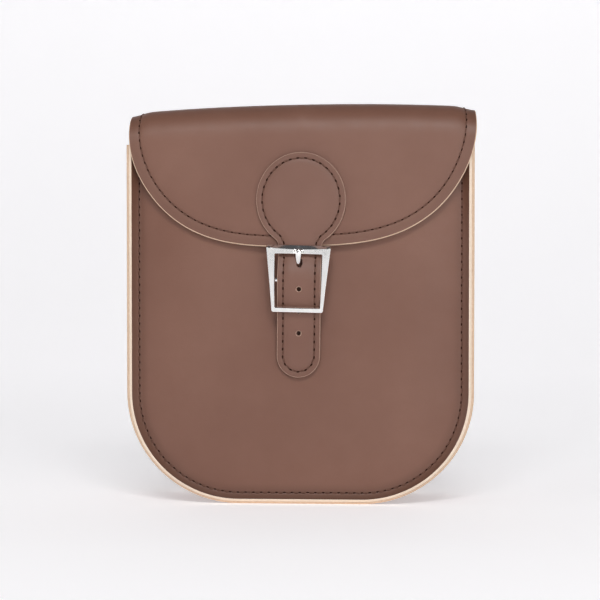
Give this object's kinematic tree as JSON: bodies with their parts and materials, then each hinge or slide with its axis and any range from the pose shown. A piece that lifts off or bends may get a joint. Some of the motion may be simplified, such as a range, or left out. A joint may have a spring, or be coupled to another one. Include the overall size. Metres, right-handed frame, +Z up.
{
  "type": "leather satchel",
  "caption": "Small structured brown leather satchel with round lower corners, a curved flap, a keyhole patch, and a strap with a centre-bar buckle over a magnetic snap.",
  "frame": {"origin": "on the floor, under the middle of the bounding box", "axes": "+Z up, +X to the right as seen from the front, the front with the buckle faces -Y"},
  "size_m": [0.205, 0.0769, 0.235],
  "materials": {
    "leather": "smooth semi-matte brown leather with pale raw cut edges",
    "strap_leather": "smooth semi-matte brown strap leather",
    "nickel": "polished nickel plate",
    "thread": "dark brown waxed sewing thread",
    "cut_edge": "raw pale cut edge and flesh side of the leather"
  },
  "bodies": {
    "bag_body": {"front_panel": "leather", "back_panel": "leather", "gusset": "leather", "snap_base": "nickel", "snap_base_washer": "nickel", "d_ring_tab_left": "strap_leather", "d_ring_tab_right": "strap_leather", "tab_rivet_left": "nickel", "tab_rivet_right": "nickel"},
    "flap_top": {"flap_top": "leather"},
    "flap_front": {"flap_front": "leather", "closure_patch": "strap_leather"},
    "closure": {"strap_tail": "strap_leather", "chape": "strap_leather", "snap_stud": "nickel"},
    "buckle_frame": {"buckle_frame": "nickel"},
    "buckle_prong": {"buckle_prong": "nickel"},
    "d_ring_left": {"d_ring_left": "nickel"},
    "d_ring_right": {"d_ring_right": "nickel"}
  },
  "joints": [
    {"name": "flap_back_hinge", "type": "hinge", "parent": "bag_body", "child": "flap_top", "pos_m": [0, 0.03643, 0.23328], "axis": [-1, 0, 0], "range_deg": [0, 180]},
    {"name": "flap_front_hinge", "type": "hinge", "parent": "flap_top", "child": "flap_front", "pos_m": [0, -0.02529, 0.23114], "axis": [-1, 0, 0], "range_deg": [0, 90]},
    {"name": "closure_hinge", "type": "hinge", "parent": "flap_front", "child": "closure", "pos_m": [0, -0.03425, 0.1525], "axis": [-1, 0, 0], "range_deg": [0, 80]},
    {"name": "buckle_frame_pivot", "type": "hinge", "parent": "closure", "child": "buckle_frame", "pos_m": [0, -0.03325, 0.1325], "axis": [1, 0, 0], "range_deg": [-1.5, 1.5]},
    {"name": "prong_pivot", "type": "hinge", "parent": "buckle_frame", "child": "buckle_prong", "pos_m": [0, -0.03325, 0.1325], "axis": [1, 0, 0], "range_deg": [0, 3]},
    {"name": "d_ring_left_swing", "type": "hinge", "parent": "bag_body", "child": "d_ring_left", "pos_m": [-0.0978, 0.0088, 0.205], "axis": [0, 1, 0], "range_deg": [0, 165]},
    {"name": "d_ring_right_swing", "type": "hinge", "parent": "bag_body", "child": "d_ring_right", "pos_m": [0.0978, 0.0088, 0.205], "axis": [0, -1, 0], "range_deg": [0, 165]}
  ]
}
